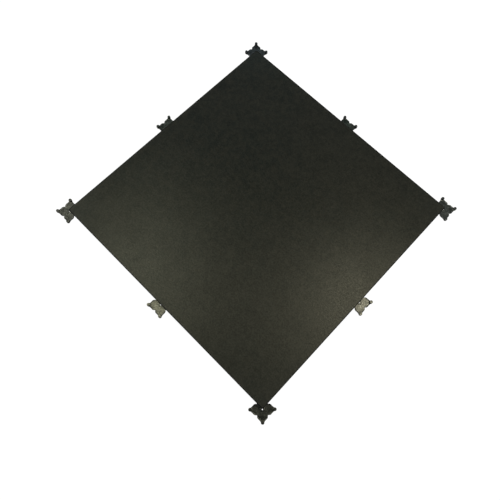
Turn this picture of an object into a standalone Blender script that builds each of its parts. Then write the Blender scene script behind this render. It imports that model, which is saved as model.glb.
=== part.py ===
"""Portable stage riser platform: a one-metre deck that drops onto a folding lattice riser.

The riser has nine four-leaf hub plates (four corners, four edge middles, one centre). Eight
rectangular tube frames run along the diagonals between them: four corner frames from the centre
hub to the corner hubs, and four side frames from edge hub to edge hub. Each side frame crosses
one corner frame on an upright pivot rod, so the whole riser folds like a lattice in plan.
Every leaf of a hub plate narrows to a rounded end that carries a chamfered peg. Steel cups
drawn up into the deck's backing sheet drop over the pegs.

Metres, +Z up. Origin on the floor under the middle of the deck; deck edges along X and Y.
Right is +X, back is +Y.
"""

import math

import bmesh
import bpy
from mathutils import Matrix, Vector

for old in list(bpy.data.objects):
    bpy.data.objects.remove(old, do_unlink=True)

# ---------------------------------------------------------------- driving dimensions
MODULE = 1.000  # grid pitch of the staging system: hub centre to hub centre across a deck
HALF_MODULE = MODULE / 2
HEIGHT = 0.200  # floor to deck top
GAP = 0.0003  # clearance kept between separate pieces
JOINT = 0.001  # open joint between neighbouring decks
CUT_PAST = 0.010  # how far a cutting tool runs past the faces it cuts through
OVERLAP = 0.002  # how far joined bodies run into each other

DECK_HALF = (MODULE - JOINT) / 2  # half the deck's side
DECK_T = 0.0177  # trim height: skin, board, backing sheet and the clearances between them
DECK_BOT = HEIGHT - DECK_T

ARM = 0.0415  # hub centre to peg axis
PEG_OFFSET = ARM / math.sqrt(2.0)  # the same along X and along Y
PLATE_T = 0.0050  # hub plate
PLATE_TOP = DECK_BOT - GAP
PLATE_BOT = PLATE_TOP - PLATE_T

FOOT_R = 0.0130
FOOT_H = 0.0080
FOOT_NECK_R = 0.0063
LINK_T = 0.0040  # bottom link plate

POST = 0.020  # square post tube
POST_WALL = 0.002
POST_TOP = PLATE_BOT - GAP
POST_BOT = FOOT_H + LINK_T + 2 * GAP
PLUG_T = 0.010  # welded plug in the post's top, bored for the pivot stud
PLUG_BOT = POST_TOP - PLUG_T

PIVOT_R = 0.0040  # pivot studs and rods
PIVOT_BORE_R = 0.0046
BORE_SIDES = 8
BORE_TURN = math.pi / BORE_SIDES  # puts flats of the bore square to X and Y

RAIL = 0.016  # square rail tube
RAIL_WALL = 0.0015
RAIL_SPACE = 0.0045  # between crossing rails
CORNER_RAIL_TOP = 0.170  # top of the corner frames' upper rail
CORNER_RAIL_BOT = 0.030  # underside of the corner frames' lower rail
SIDE_RAIL_TOP = CORNER_RAIL_TOP - RAIL - RAIL_SPACE
SIDE_RAIL_BOT = CORNER_RAIL_BOT + RAIL + RAIL_SPACE

SPAN = math.sqrt(2.0) * (MODULE / 2.0 - 2.0 * PEG_OFFSET)  # post axis to post axis of a frame

LEAF_ANGLES = [math.radians(45 + 90 * k) for k in range(4)]
PEG_PLACES = [(ARM * math.cos(angle), ARM * math.sin(angle)) for angle in LEAF_ANGLES]

# name, side along X, side along Y; each a quarter turn on from the one before
CORNERS = (
    ("back_right", 1, 1),
    ("back_left", -1, 1),
    ("front_left", -1, -1),
    ("front_right", 1, -1),
)
SIDES = ("right", "back", "left", "front")  # a quarter turn apart, from +X


# ---------------------------------------------------------------- materials
def material(name, colour, roughness, metallic):
    made = bpy.data.materials.new(name)
    made.use_nodes = True
    shader = made.node_tree.nodes["Principled BSDF"]
    shader.inputs["Base Color"].default_value = (*colour, 1.0)
    shader.inputs["Roughness"].default_value = roughness
    shader.inputs["Metallic"].default_value = metallic
    return made


BLACK_SHEET = material(
    "textured_black_sheet", colour=(0.022, 0.023, 0.020), roughness=0.55, metallic=0.0
)
PLYWOOD = material("birch_plywood", colour=(0.46, 0.32, 0.19), roughness=0.7, metallic=0.0)
ALUMINIUM = material(
    "black_anodised_aluminium", colour=(0.02, 0.02, 0.02), roughness=0.4, metallic=0.8
)
CASTING = material(
    "black_painted_casting", colour=(0.03, 0.03, 0.028), roughness=0.35, metallic=0.4
)
TUBE = material(
    "black_powder_coated_tube", colour=(0.018, 0.018, 0.018), roughness=0.5, metallic=0.2
)
ZINC = material("zinc_plated_steel", colour=(0.62, 0.62, 0.60), roughness=0.3, metallic=1.0)
GALVANISED = material(
    "galvanised_sheet", colour=(0.42, 0.43, 0.43), roughness=0.45, metallic=0.9
)
RUBBER = material("black_rubber", colour=(0.012, 0.012, 0.012), roughness=0.8, metallic=0.0)


# ---------------------------------------------------------------- mesh helpers
def ring(radius, count, centre=(0.0, 0.0), turn=0.0):
    """count points round a circle, counter-clockwise, the first at angle turn."""
    angles = [turn + 2 * math.pi * i / count for i in range(count)]
    return [
        Vector((centre[0] + radius * math.cos(a), centre[1] + radius * math.sin(a)))
        for a in angles
    ]


def add_prism(bm, outline, z0, z1):
    """Closed prism over a counter-clockwise outline of (x, y)."""
    face = bm.faces.new([bm.verts.new((x, y, z0)) for x, y in outline])
    face.normal_update()
    if face.normal.z > 0:
        face.normal_flip()
    made = bmesh.ops.extrude_face_region(bm, geom=[face])
    top = [v for v in made["geom"] if isinstance(v, bmesh.types.BMVert)]
    bmesh.ops.translate(bm, verts=top, vec=(0, 0, z1 - z0))


def add_turned(bm, profile, count, centre=(0.0, 0.0), turn=0.0):
    """Closed body turned about Z from a profile of (radius, z). A profile that starts and ends on
    the axis (radius 0) is solid; any other is a ring whose last point joins its first."""
    rows = []
    for radius, z in profile:
        points = ring(radius, count, centre, turn) if radius else [centre]
        rows.append([bm.verts.new((x, y, z)) for x, y in points])
    pairs = list(zip(rows, rows[1:]))
    solid = profile[0][0] == 0 and profile[-1][0] == 0
    if not solid:
        pairs.append((rows[-1], rows[0]))
    for low, high in pairs:
        for i in range(count):
            j = (i + 1) % count
            if len(low) == 1:
                bm.faces.new((low[0], high[i], high[j]))
            elif len(high) == 1:
                bm.faces.new((low[i], high[0], low[j]))
            else:
                bm.faces.new((low[i], high[i], high[j], low[j]))


def finish(bm, name):
    """Turn bm into a mesh with its normals outward."""
    bmesh.ops.recalc_face_normals(bm, faces=bm.faces)
    mesh = bpy.data.meshes.new(name)
    bm.to_mesh(mesh)
    bm.free()
    return mesh


def prism_mesh(name, outline, z0, z1):
    bm = bmesh.new()
    add_prism(bm, outline, z0, z1)
    return finish(bm, name)


def box_mesh(name, low, high):
    outline = [(low[0], low[1]), (high[0], low[1]), (high[0], high[1]), (low[0], high[1])]
    return prism_mesh(name, outline, low[2], high[2])


def turned_mesh(name, profile, count):
    bm = bmesh.new()
    add_turned(bm, profile, count)
    return finish(bm, name)


def discs_mesh(name, places, radius, count, z0, z1):
    """An upright round prism at each of places, in one mesh."""
    bm = bmesh.new()
    for place_xy in places:
        add_prism(bm, ring(radius, count, place_xy), z0, z1)
    return finish(bm, name)


def pivot_bore_mesh(x, z0, z1):
    """Cutter for a pivot bore on the X axis at x."""
    return prism_mesh("pivot_bore", ring(PIVOT_BORE_R, BORE_SIDES, (x, 0), BORE_TURN), z0, z1)


def combine(mesh, tools, operation):
    """mesh with each tool mesh cut from it (DIFFERENCE) or joined to it (UNION)."""
    body = bpy.data.objects.new("work", mesh)
    bpy.context.scene.collection.objects.link(body)
    helpers = []
    for i, tool in enumerate(tools):
        helper = bpy.data.objects.new("work_tool_%d" % i, tool)
        bpy.context.scene.collection.objects.link(helper)
        helper.hide_render = True
        helpers.append(helper)
        modifier = body.modifiers.new("bool_%d" % i, "BOOLEAN")
        modifier.operation = operation
        modifier.object = helper
    bpy.context.view_layer.update()
    graph = bpy.context.evaluated_depsgraph_get()
    made = bpy.data.meshes.new_from_object(body.evaluated_get(graph))
    for ob in [body] + helpers:
        bpy.data.objects.remove(ob, do_unlink=True)
    return made


def cut(mesh, tools):
    return combine(mesh, tools, "DIFFERENCE")


def join(mesh, tools):
    return combine(mesh, tools, "UNION")


# ---------------------------------------------------------------- object helpers
def add_object(name, data, parent, location, turn):
    ob = bpy.data.objects.new(name, data)
    bpy.context.scene.collection.objects.link(ob)
    ob.parent = parent
    ob.location = location
    ob.rotation_euler = (0, 0, turn)
    return ob


def place(name, mesh, mat, parent, location=(0, 0, 0), turn=0.0):
    """Add a piece under parent. Repeated pieces share one mesh, so it takes its material once."""
    if not mesh.materials:
        mesh.materials.append(mat)
    add_object(name, mesh, parent, location, turn)


def empty(name, location, turn=0.0):
    return add_object(name, None, None, location, turn)


# ---------------------------------------------------------------- hub plate
NOTCH = 0.0183  # X or Y of the notch between two leaves
# Half outline of one leaf from the notch to its tip: (along the leaf, across it)
LEAF_HALF = [
    (0.0223, 0.0181), (0.0257, 0.0177), (0.0289, 0.0159),
    (0.0323, 0.0123), (0.0360, 0.0089), (0.0397, 0.0062),
    (0.0430, 0.0052), (0.0455, 0.0037), (0.0467, 0.0014),
]
HUB_HOLE_R = 0.0021
PEG_R = 0.0050
PEG_H = 0.0090
PEG_CHAMFER = 0.0012
RIVET_R = 0.0062  # riveted lower end of a pivot stud
RIVET_TIP_R = 0.0045
RIVET_H = 0.0030


def four_leaf_outline():
    points = []
    for angle in LEAF_ANGLES:
        along = Vector((math.cos(angle), math.sin(angle)))
        across = Vector((-math.sin(angle), math.cos(angle)))
        points.append(along * NOTCH - across * NOTCH)
        points += [along * a - across * b for a, b in LEAF_HALF]
        points += [along * a + across * b for a, b in reversed(LEAF_HALF)]
    return points


def hub_plate_mesh(stud_leaves):
    """One casting: four leaves, a peg standing on each, and a pivot stud under each leaf whose
    index is in stud_leaves (leaf 0 points to +X +Y, the rest follow counter-clockwise).
    A stud's lower end is riveted over below the plug of the post that turns on it."""
    rivet_top = PLUG_BOT - GAP
    peg_top = PLATE_TOP + PEG_H
    peg_profile = [
        (0, PLATE_TOP - OVERLAP),
        (PEG_R, PLATE_TOP - OVERLAP),
        (PEG_R, peg_top - PEG_CHAMFER),
        (PEG_R - PEG_CHAMFER, peg_top),
        (0, peg_top),
    ]
    stud_profile = [
        (0, rivet_top - RIVET_H),
        (RIVET_TIP_R, rivet_top - RIVET_H),
        (RIVET_R, rivet_top - RIVET_H / 2),
        (RIVET_R, rivet_top),
        (PIVOT_R, rivet_top),
        (PIVOT_R, PLATE_BOT + OVERLAP),
        (0, PLATE_BOT + OVERLAP),
    ]
    pegs = bmesh.new()
    studs = bmesh.new()
    for leaf, peg_place in enumerate(PEG_PLACES):
        add_turned(pegs, peg_profile, 12, peg_place)
        if leaf in stud_leaves:
            add_turned(studs, stud_profile, BORE_SIDES, peg_place, BORE_TURN)
    plate = prism_mesh("plate", four_leaf_outline(), PLATE_BOT, PLATE_TOP)
    plate = join(plate, [finish(pegs, "pegs"), finish(studs, "studs")])
    hole = prism_mesh(
        "hub_hole", ring(HUB_HOLE_R, 12), PLATE_BOT - CUT_PAST, PLATE_TOP + CUT_PAST
    )
    return cut(plate, [hole])


# ---------------------------------------------------------------- frames
POST_BORE_PAST = 0.005  # how far the bore's cutter starts below the plug
SPACER_R = 0.0090  # outer radius of the spacer rings on the side frames


def post_mesh(x):
    """Square post at x on the X axis, hollow up to its bored top plug."""
    half = POST / 2
    inner = half - POST_WALL
    body = box_mesh("post", (x - half, -half, POST_BOT), (x + half, half, POST_TOP))
    hollow = box_mesh(
        "post_hollow", (x - inner, -inner, POST_BOT - CUT_PAST), (x + inner, inner, PLUG_BOT)
    )
    bore = pivot_bore_mesh(x, PLUG_BOT - POST_BORE_PAST, POST_TOP + CUT_PAST)
    return cut(body, [hollow, bore])


def rail_mesh(x0, x1, top):
    """Square tube along X under z = top, open at both ends, with a pivot hole at its middle."""

    def square(x, inset):
        half = RAIL / 2 - inset
        low, high = top - RAIL + inset, top - inset
        corners = ((-half, low), (half, low), (half, high), (-half, high))
        return [bm.verts.new((x, y, z)) for y, z in corners]

    bm = bmesh.new()
    outer0, inner0 = square(x0, 0), square(x0, RAIL_WALL)
    outer1, inner1 = square(x1, 0), square(x1, RAIL_WALL)
    for i in range(4):
        j = (i + 1) % 4
        bm.faces.new((outer0[i], outer1[i], outer1[j], outer0[j]))
        bm.faces.new((inner0[j], inner1[j], inner1[i], inner0[i]))
        bm.faces.new((outer0[j], inner0[j], inner0[i], outer0[i]))
        bm.faces.new((outer1[i], inner1[i], inner1[j], outer1[j]))
    bore = pivot_bore_mesh((x0 + x1) / 2, top - RAIL - CUT_PAST, top + CUT_PAST)
    return cut(finish(bm, "rail"), [bore])


def spacer_mesh(z0, z1):
    """Ring round the pivot hole, on the Z axis."""
    profile = [(PIVOT_BORE_R, z0), (SPACER_R, z0), (SPACER_R, z1), (PIVOT_BORE_R, z1)]
    return turned_mesh("spacer", profile, 16)


def frame_mesh(x0, x1, upper_rail_top, lower_rail_top, spacers=()):
    """Two posts and two rails, one welded piece: the rails run half-way into the posts' walls.
    spacers: (bottom, top) of the spacer rings welded round the pivot holes."""
    inset = POST / 2 - POST_WALL / 2
    parts = [rail_mesh(x0 + inset, x1 - inset, top) for top in (upper_rail_top, lower_rail_top)]
    parts.append(post_mesh(x1))
    parts += [spacer_mesh(*heights) for heights in spacers]
    return join(post_mesh(x0), parts)


def corner_frame_mesh():
    return frame_mesh(0.0, SPAN, CORNER_RAIL_TOP, CORNER_RAIL_BOT + RAIL)


def side_frame_mesh():
    """Frame whose rails lie between a corner frame's, spaced off them by rings."""
    spacers = (
        (SIDE_RAIL_TOP - RAIL_WALL / 2, SIDE_RAIL_TOP + RAIL_SPACE - GAP),
        (SIDE_RAIL_BOT - RAIL_SPACE + GAP, SIDE_RAIL_BOT + RAIL_WALL / 2),
    )
    return frame_mesh(-SPAN / 2, SPAN / 2, SIDE_RAIL_TOP, SIDE_RAIL_BOT + RAIL, spacers)


# ---------------------------------------------------------------- pivot rod and nut
HEX_R = 0.0075  # rod head and nut, centre to corner
ROD_HEAD_H = 0.0053
ROD_TAIL = 0.0030  # rod end below the nut
ROD_TIP_INSET = 0.0008  # chamfer at the rod's lower end: radius and height
ROD_TIP_H = 0.0010
NUT_H = 0.0065
NUT_TOP = CORNER_RAIL_BOT - GAP
NUT_BOT = NUT_TOP - NUT_H
NUT_CLEARANCE = 0.00045


def pivot_rod_mesh():
    """Upright pivot of a crossing: a hex-headed rod through all four rails."""
    head_bot = CORNER_RAIL_TOP + GAP
    tip = NUT_BOT - ROD_TAIL
    head = prism_mesh("head", ring(HEX_R, 6), head_bot, head_bot + ROD_HEAD_H)
    profile = [
        (0, tip),
        (PIVOT_R - ROD_TIP_INSET, tip),
        (PIVOT_R, tip + ROD_TIP_H),
        (PIVOT_R, head_bot + OVERLAP),
        (0, head_bot + OVERLAP),
    ]
    return join(head, [turned_mesh("shank", profile, 12)])


def pivot_nut_mesh():
    nut = prism_mesh("nut", ring(HEX_R, 6), NUT_BOT, NUT_TOP)
    bore_outline = ring(PIVOT_R + NUT_CLEARANCE, 12)
    bore = prism_mesh("nut_bore", bore_outline, NUT_BOT - CUT_PAST, NUT_TOP + CUT_PAST)
    return cut(nut, [bore])


# ---------------------------------------------------------------- feet and bottom links
FOOT_CHAMFER = 0.001
FOOT_PLUG_R = 0.0076
FOOT_PLUG_H = 0.0140  # plug's top above the post's bottom
NECK_RISE = 0.0006  # neck's top above the post's bottom
FOOT_SMOOTH_ANGLE = 40  # degrees; sharper edges stay sharp

LINK_R = 0.0125  # rounded ends of the link
LINK_NECK_CLEARANCE = 0.0009
LINK_CENTRE_HOLE_R = 0.014


def foot_mesh(necked):
    """Rubber foot with a plug up inside the post. A necked foot passes through a bottom link; a
    plain one fills that height."""
    profile = [(0, 0), (FOOT_R - FOOT_CHAMFER, 0), (FOOT_R, FOOT_CHAMFER)]
    if necked:
        neck_top = POST_BOT + NECK_RISE
        profile += [(FOOT_R, FOOT_H), (FOOT_NECK_R, FOOT_H)]
        profile += [(FOOT_NECK_R, neck_top), (FOOT_PLUG_R, neck_top)]
    else:
        profile += [(FOOT_R, POST_BOT - GAP), (FOOT_PLUG_R, POST_BOT - GAP)]
    profile += [(FOOT_PLUG_R, POST_BOT + FOOT_PLUG_H), (0, POST_BOT + FOOT_PLUG_H)]
    mesh = turned_mesh("foot", profile, 12)
    mesh.shade_smooth()
    mesh.set_sharp_from_angle(angle=math.radians(FOOT_SMOOTH_ANGLE))
    return mesh


def convex_outline(points):
    """Counter-clockwise convex hull of points, without points that lie along its edges."""

    def turns_left(start, middle, end):
        cross = (middle[0] - start[0]) * (end[1] - start[1]) - (middle[1] - start[1]) * (
            end[0] - start[0]
        )
        return cross > 1e-12

    def half_hull(ordered):
        hull = []
        for point in ordered:
            while len(hull) > 1 and not turns_left(hull[-2], hull[-1], point):
                hull.pop()
            hull.append(point)
        return hull[:-1]

    # rounding makes level points exactly level
    ordered = sorted(set((round(x, 7), round(y, 7)) for x, y in points))
    return half_hull(ordered) + half_hull(reversed(ordered))


def link_mesh(places, centre_hole=False):
    """Flat bottom link: a rounded plate with a hole for each foot's neck."""
    z0 = FOOT_H + GAP
    z1 = z0 + LINK_T
    rims = [point for spot in places for point in ring(LINK_R, 16, spot, math.pi / 16)]
    plate = prism_mesh("link", convex_outline(rims), z0, z1)
    holes = bmesh.new()
    for spot in places:
        outline = ring(FOOT_NECK_R + LINK_NECK_CLEARANCE, 12, spot)
        add_prism(holes, outline, z0 - CUT_PAST, z1 + CUT_PAST)
    if centre_hole:
        add_prism(holes, ring(LINK_CENTRE_HOLE_R, 16), z0 - CUT_PAST, z1 + CUT_PAST)
    return cut(plate, [finish(holes, "link_holes")])


# ---------------------------------------------------------------- deck
SKIN_T = 0.0020  # textured black top sheet
SHEET_T = 0.0010  # steel backing sheet
CORNER_CUT = 0.004  # leg of the chamfer at the deck's corners
TRIM_T = 0.0020  # edge profile web
TRIM_CHAMFER = 0.0008  # on the web's outer edges
TONGUE_D = 0.0060  # edge profile tongue into the board
TONGUE_T = 0.0020
TONGUE_Z = HEIGHT - DECK_T / 2  # mid-height of the tongue
GROOVE_CUT_HALF = 0.6  # half length of the groove's cutter, longer than the deck
CAP_DROP = 0.0002  # corner cap's top below the deck's

CUP_R = 0.0112  # outside of the cups drawn in the sheet
CUP_INNER_R = 0.0100
CUP_H = 0.0116
SOCKET_CLEARANCE = GAP * 1.1  # round a cup in the board
SOCKET_MARGIN = 0.01  # a peg axis nearer the deck's edge than this gets no socket

BOARD_HALF = DECK_HALF - TRIM_T - GAP


def deck_outline():
    """Square inside the edge trim with its corners cut where |x| + |y| = corner_line."""
    corner_line = 2 * DECK_HALF - CORNER_CUT - math.sqrt(2) * (TRIM_T + GAP)
    full = BOARD_HALF
    short = corner_line - full
    return [
        (full, -short), (full, short), (short, full), (-short, full),
        (-full, short), (-full, -short), (-short, -full), (short, -full),
    ]


def socket_places():
    """Every peg under the deck: one at each corner hub, two at each edge hub, four at the
    centre."""
    limit = DECK_HALF - SOCKET_MARGIN
    hub_lines = (-HALF_MODULE, 0, HALF_MODULE)
    return [
        (hub_x + x, hub_y + y)
        for hub_x in hub_lines
        for hub_y in hub_lines
        for x, y in PEG_PLACES
        if abs(hub_x + x) < limit and abs(hub_y + y) < limit
    ]


def groove_tools():
    """Cutters along the four edges for the grooves that take the trim's tongues."""
    reach = TONGUE_T / 2
    depth = BOARD_HALF - (TONGUE_D + GAP)
    tools = []
    for axis in (0, 1):
        for side in (1, -1):
            low = [-GROOVE_CUT_HALF, -GROOVE_CUT_HALF, TONGUE_Z - reach - GAP]
            high = [GROOVE_CUT_HALF, GROOVE_CUT_HALF, TONGUE_Z + reach + GAP]
            low[axis], high[axis] = sorted((side * depth, side * (BOARD_HALF + CUT_PAST)))
            tools.append(box_mesh("groove", low, high))
    return tools


def deck_board_mesh():
    z0 = DECK_BOT + SHEET_T + GAP
    board = prism_mesh("board", deck_outline(), z0, HEIGHT - SKIN_T - GAP)
    sockets = discs_mesh(
        "sockets",
        socket_places(),
        radius=CUP_R + SOCKET_CLEARANCE,
        count=12,
        z0=z0 - CUT_PAST,
        z1=DECK_BOT + CUP_H + GAP,
    )
    return cut(board, groove_tools() + [sockets])


def deck_skin_mesh():
    return prism_mesh("skin", deck_outline(), HEIGHT - SKIN_T, HEIGHT)


def backing_sheet_mesh():
    """Steel sheet under the board with a cup drawn up into each socket."""
    sheet = prism_mesh("sheet", deck_outline(), DECK_BOT, DECK_BOT + SHEET_T)
    places = socket_places()
    cup_top = DECK_BOT + CUP_H
    cups = discs_mesh("cups", places, CUP_R, 12, DECK_BOT + SHEET_T / 2, cup_top)
    mouths = discs_mesh(
        "cup_mouths", places, CUP_INNER_R, 12, DECK_BOT - CUT_PAST, cup_top - SHEET_T
    )
    return cut(join(sheet, [cups]), [mouths])


def trim_mesh():
    """Edge profile along Y at +X: a web with its outer edges chamfered, and a tongue mitred at
    its ends."""
    outer = DECK_HALF
    inner = outer - TRIM_T
    tongue_low, tongue_high = TONGUE_Z - TONGUE_T / 2, TONGUE_Z + TONGUE_T / 2
    section = [  # (x, z)
        (inner, DECK_BOT),
        (outer - TRIM_CHAMFER, DECK_BOT),
        (outer, DECK_BOT + TRIM_CHAMFER),
        (outer, HEIGHT - TRIM_CHAMFER),
        (outer - TRIM_CHAMFER, HEIGHT),
        (inner, HEIGHT),
        (inner, tongue_high),
        (inner - TONGUE_D, tongue_high),
        (inner - TONGUE_D, tongue_low),
        (inner, tongue_low),
    ]
    web_end = DECK_HALF - CORNER_CUT - GAP
    ends = [web_end - max(0.0, inner - x) for x, _ in section]
    bm = bmesh.new()
    front = [bm.verts.new((x, -end, z)) for (x, z), end in zip(section, ends)]
    back = [bm.verts.new((x, end, z)) for (x, z), end in zip(section, ends)]
    # end faces: the web's, then the tongue's mitre
    for corners in ((0, 1, 2, 3, 4, 5, 6, 9), (6, 7, 8, 9)):
        bm.faces.new([front[i] for i in corners])
        bm.faces.new([back[i] for i in reversed(corners)])
    for i in range(len(section)):
        j = (i + 1) % len(section)
        bm.faces.new((front[j], front[i], back[i], back[j]))
    return finish(bm, "trim")


def cap_mesh():
    """Corner piece across the chamfer at (+X, +Y)."""
    edge = DECK_HALF
    start = edge - CORNER_CUT
    inner = edge - TRIM_T * math.sqrt(2)
    outline = [(edge, start), (start, edge), (start, inner), (inner, start)]
    return prism_mesh("cap", outline, DECK_BOT, HEIGHT - CAP_DROP)


# ---------------------------------------------------------------- assembly
def build_deck():
    deck = empty("deck_origin", (0, 0, 0))
    place("deck_surface", deck_skin_mesh(), BLACK_SHEET, deck)
    place("deck_board", deck_board_mesh(), PLYWOOD, deck)
    place("deck_backing_sheet", backing_sheet_mesh(), GALVANISED, deck)
    trim = trim_mesh()
    for k, side in enumerate(SIDES):
        place("edge_trim_" + side, trim, ALUMINIUM, deck, turn=math.radians(90 * k))
    cap = cap_mesh()
    for k, (corner, _, _) in enumerate(CORNERS):
        place("corner_cap_" + corner, cap, ALUMINIUM, deck, turn=math.radians(90 * k))


def build_centre_hub():
    centre = empty("centre_hub_origin", (0, 0, 0))
    place("hub_plate_centre", hub_plate_mesh((0, 1, 2, 3)), CASTING, centre)
    place("bottom_link_centre", link_mesh(PEG_PLACES, centre_hole=True), CASTING, centre)


def build_quarters():
    """The corner frame, the side frame that crosses it and the corner hub of each quarter."""
    corner_plate = hub_plate_mesh((2,))
    corner_frame = corner_frame_mesh()
    side_frame = side_frame_mesh()
    plain_foot = foot_mesh(necked=False)
    necked_foot = foot_mesh(necked=True)
    rod = pivot_rod_mesh()
    nut = pivot_nut_mesh()
    for name, side_x, side_y in CORNERS:
        turn = math.atan2(side_y, side_x)
        peg_offset = (side_x * PEG_OFFSET, side_y * PEG_OFFSET, 0)
        # corner frame: its axis is the centre hub's pivot stud
        pivot = empty("corner_frame_pivot_" + name, peg_offset, turn)
        place("corner_frame_" + name, corner_frame, TUBE, pivot)
        place("foot_inner_" + name, necked_foot, RUBBER, pivot)
        place("foot_corner_" + name, plain_foot, RUBBER, pivot, (SPAN, 0, 0))
        place("pivot_rod_" + name, rod, ZINC, pivot, (SPAN / 2, 0, 0))
        place("pivot_nut_" + name, nut, ZINC, pivot, (SPAN / 2, 0, 0))
        # side frame: its axis is the crossing
        crossing = (side_x * HALF_MODULE / 2, side_y * HALF_MODULE / 2, 0)
        pivot = empty("side_frame_pivot_" + name, crossing, turn + math.pi / 2)
        place("side_frame_" + name, side_frame, TUBE, pivot)
        place("foot_side_a_" + name, necked_foot, RUBBER, pivot, (-SPAN / 2, 0, 0))
        place("foot_side_b_" + name, necked_foot, RUBBER, pivot, (SPAN / 2, 0, 0))
        # corner hub: its axis is the corner frame's outer post
        post = HALF_MODULE - PEG_OFFSET
        pivot = empty("corner_hub_pivot_" + name, (side_x * post, side_y * post, 0))
        place("hub_plate_" + name, corner_plate, CASTING, pivot, peg_offset, turn - math.pi / 4)


def build_edge_hubs():
    """Edge hubs: the axis of each is one post of a side frame that carries it."""
    plate = hub_plate_mesh((1, 2))
    link = link_mesh([(-PEG_OFFSET, -PEG_OFFSET), (-PEG_OFFSET, PEG_OFFSET)])
    right_post = Vector((HALF_MODULE - PEG_OFFSET, PEG_OFFSET, 0))
    hub_centre = (PEG_OFFSET, -PEG_OFFSET, 0)  # from the post
    for k, name in enumerate(SIDES):
        turn = math.radians(90 * k)
        post = Matrix.Rotation(turn, 3, "Z") @ right_post
        pivot = empty("edge_hub_pivot_" + name, post, turn)
        place("hub_plate_" + name, plate, CASTING, pivot, hub_centre)
        place("bottom_link_" + name, link, CASTING, pivot, hub_centre)


build_deck()
build_centre_hub()
build_quarters()
build_edge_hubs()
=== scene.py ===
"""Looks for a stage riser: a square deck on cast hub plates and crossing welded tube frames.

The deck lies level and centred on the Z axis, with the floor at z = 0. Right is +X, back is +Y.
Nine hubs stand on a 3 x 3 grid. In each quarter of the deck a corner frame runs out along the
diagonal and a side frame crosses it at the middle. Metres throughout.
"""

import math

import bmesh
import bpy
from mathutils import Matrix, Vector, noise


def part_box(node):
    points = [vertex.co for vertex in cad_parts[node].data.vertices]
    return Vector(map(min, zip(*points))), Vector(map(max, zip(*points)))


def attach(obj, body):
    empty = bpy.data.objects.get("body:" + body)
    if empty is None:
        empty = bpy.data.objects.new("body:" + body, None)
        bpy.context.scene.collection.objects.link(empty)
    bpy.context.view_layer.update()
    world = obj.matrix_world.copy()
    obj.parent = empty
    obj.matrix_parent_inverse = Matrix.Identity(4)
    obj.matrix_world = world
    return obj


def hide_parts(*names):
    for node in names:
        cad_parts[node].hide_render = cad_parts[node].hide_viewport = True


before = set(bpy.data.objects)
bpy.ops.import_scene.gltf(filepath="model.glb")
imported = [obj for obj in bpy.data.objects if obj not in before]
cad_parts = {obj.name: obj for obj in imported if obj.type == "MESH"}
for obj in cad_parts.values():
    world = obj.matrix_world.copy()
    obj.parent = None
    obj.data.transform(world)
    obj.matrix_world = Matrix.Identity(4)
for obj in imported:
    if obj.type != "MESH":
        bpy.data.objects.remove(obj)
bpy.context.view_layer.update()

# ---------------------------------------------------------------- driving sizes
SKIN_LOW, SKIN_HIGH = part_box("deck_surface")
TRIM_LOW, TRIM_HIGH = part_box("edge_trim_right")
SHEET_LOW, SHEET_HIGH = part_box("deck_backing_sheet")
DECK_TOP = SKIN_HIGH.z
DECK_BOTTOM = TRIM_LOW.z
DECK_HALF = TRIM_HIGH.x
SKIN_HALF = SKIN_HIGH.x
CORNER_CUT = 0.004
# x + y along the cut corners of the skin and the backing sheet
SKIN_CUT_LINE = 2 * DECK_HALF - CORNER_CUT - math.sqrt(2) * (DECK_HALF - SKIN_HALF)
TRIM_WEB = 0.002

MODULE = 1.0
PITCH = MODULE / 2  # between hubs
PEG_ARM = 0.0415  # hub centre to peg
PEG_OFFSET = PEG_ARM / math.sqrt(2)
SPAN = math.sqrt(2) * (PITCH - 2 * PEG_OFFSET)  # between the two posts of a frame
GAP = 0.0003  # clearance between touching parts

PLATE_TOP = DECK_BOTTOM - GAP
PLATE_BOTTOM = PLATE_TOP - 0.005
PEG_H = 0.009
FOOT_H = 0.008
LINK_T = 0.004
POST = 0.020
POST_TOP = PLATE_BOTTOM - GAP
POST_BOTTOM = FOOT_H + LINK_T + 2 * GAP
PLUG_T = 0.010  # solid top end of a post
RAIL = 0.016
RAIL_SPACE = 0.0045  # between the rails of crossing frames
CORNER_RAIL_TOP, CORNER_RAIL_BOTTOM = 0.170, 0.030
SIDE_RAIL_TOP = CORNER_RAIL_TOP - RAIL - RAIL_SPACE
SIDE_RAIL_BOTTOM = CORNER_RAIL_BOTTOM + RAIL + RAIL_SPACE
BORE_R = 0.0046
PIVOT_R = 0.0040
NUT_H = 0.0065
NUT_TOP = CORNER_RAIL_BOTTOM - GAP
OVERSHOOT = 0.01  # how far a cutter runs past the face it opens

# name, sign of x, sign of y; anticlockwise
CORNERS = (
    ("back_right", 1, 1),
    ("back_left", -1, 1),
    ("front_left", -1, -1),
    ("front_right", 1, -1),
)
# name, direction in degrees from +X
EDGES = (("right", 0), ("back", 90), ("left", 180), ("front", 270))


# ---------------------------------------------------------------- node helpers
def colour(value):
    """RGBA from a grey level or an RGB tuple."""
    if isinstance(value, (int, float)):
        return (value, value, value, 1.0)
    return (*value, 1.0)


def fill_ramp(ramp, stops):
    """Stops are (position, colour), the first at the ramp's low end."""
    elements = ramp.elements
    elements.remove(elements[-1])
    elements[0].position = stops[0][0]
    elements[0].color = colour(stops[0][1])
    for position, tone in stops[1:]:
        elements.new(position).color = colour(tone)


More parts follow.
